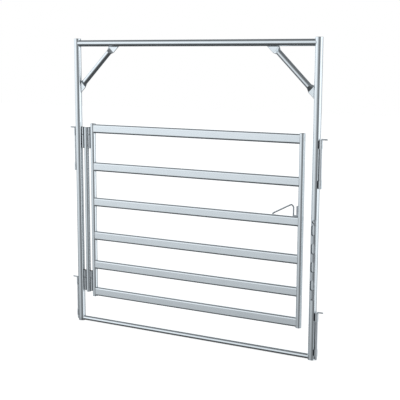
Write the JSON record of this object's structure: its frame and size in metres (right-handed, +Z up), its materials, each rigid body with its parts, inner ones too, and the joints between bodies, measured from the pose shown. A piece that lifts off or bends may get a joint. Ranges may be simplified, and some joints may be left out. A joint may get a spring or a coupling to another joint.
{
  "type": "double swing gate",
  "caption": "Galvanised pipe gate in a full height frame: a railed leaf on a double hinge link post swings both ways, with a sliding latch bolt and panel drop pins.",
  "frame": {"origin": "centre of the hinge post's flat foot on the ground", "axes": "+X along the frame from the hinge post to the latch post, +Y to the back of the gate, +Z up"},
  "size_m": [2.4957, 0.1061, 2.6],
  "materials": {
    "galvanised_steel": "satin",
    "bright_steel": "satin"
  },
  "bodies": {
    "outer_frame": {"bolt_keeper": "galvanised_steel", "header_pipe": "galvanised_steel", "hinge_post": "galvanised_steel", "hinge_post_foot_plug": "galvanised_steel", "hinge_post_top_plug": "galvanised_steel", "hinge_side_corner_brace": "galvanised_steel", "hinge_side_lug_1": "galvanised_steel", "hinge_side_lug_2": "galvanised_steel", "hinge_side_lug_3": "galvanised_steel", "hinge_side_lug_4": "galvanised_steel", "latch_post": "galvanised_steel", "latch_post_foot_plug": "galvanised_steel", "latch_post_top_plug": "galvanised_steel", "latch_side_corner_brace": "galvanised_steel", "latch_side_lug_1": "galvanised_steel", "latch_side_lug_2": "galvanised_steel", "latch_side_lug_3": "galvanised_steel", "latch_side_lug_4": "galvanised_steel", "lower_outer_hinge_pin_half": "bright_steel", "slotted_strip": "galvanised_steel", "threshold_pipe": "galvanised_steel", "upper_outer_hinge_pin_half": "bright_steel"},
    "link": {"link_post": "galvanised_steel", "upper_outer_hinge_sleeve_half": "bright_steel", "lower_outer_hinge_sleeve_half": "bright_steel", "upper_inner_hinge_pin_half": "bright_steel", "lower_inner_hinge_pin_half": "bright_steel"},
    "leaf": {"hinge_stile": "galvanised_steel", "latch_stile": "galvanised_steel", "stile_bracket": "galvanised_steel", "bolt_guide_inner": "galvanised_steel", "bolt_guide_outer": "galvanised_steel", "rail_1": "galvanised_steel", "rail_2": "galvanised_steel", "rail_3": "galvanised_steel", "rail_4": "galvanised_steel", "rail_5": "galvanised_steel", "rail_6": "galvanised_steel", "upper_inner_hinge_sleeve_half": "bright_steel", "lower_inner_hinge_sleeve_half": "bright_steel"},
    "bolt": {"latch_bolt": "bright_steel"},
    "hinge_side_upper_pin": {"hinge_side_upper_drop_pin": "bright_steel"},
    "hinge_side_lower_pin": {"hinge_side_lower_drop_pin": "bright_steel"},
    "latch_side_upper_pin": {"latch_side_upper_drop_pin": "bright_steel"},
    "latch_side_lower_pin": {"latch_side_lower_drop_pin": "bright_steel"}
  },
  "joints": [
    {"name": "post_hinge", "type": "hinge", "parent": "outer_frame", "child": "link", "pos_m": [0.04575, 0, 1], "axis": [0, 0, 1], "range_deg": [-90, 90]},
    {"name": "leaf_hinge", "type": "hinge", "parent": "link", "child": "leaf", "pos_m": [0.11615, 0, 1], "axis": [0, 0, 1], "range_deg": [-90, 90]},
    {"name": "latch_bolt_slide", "type": "slide", "parent": "leaf", "child": "bolt", "axis": [1, 0, 0], "range_m": [0, 0.12]},
    {"name": "hinge_side_upper_pin_lift", "type": "slide", "parent": "outer_frame", "child": "hinge_side_upper_pin", "axis": [0, 0, 1], "range_m": [0, 0.35]},
    {"name": "hinge_side_lower_pin_lift", "type": "slide", "parent": "outer_frame", "child": "hinge_side_lower_pin", "axis": [0, 0, 1], "range_m": [0, 0.32]},
    {"name": "latch_side_upper_pin_lift", "type": "slide", "parent": "outer_frame", "child": "latch_side_upper_pin", "axis": [0, 0, 1], "range_m": [0, 0.35]},
    {"name": "latch_side_lower_pin_lift", "type": "slide", "parent": "outer_frame", "child": "latch_side_lower_pin", "axis": [0, 0, 1], "range_m": [0, 0.32]}
  ]
}
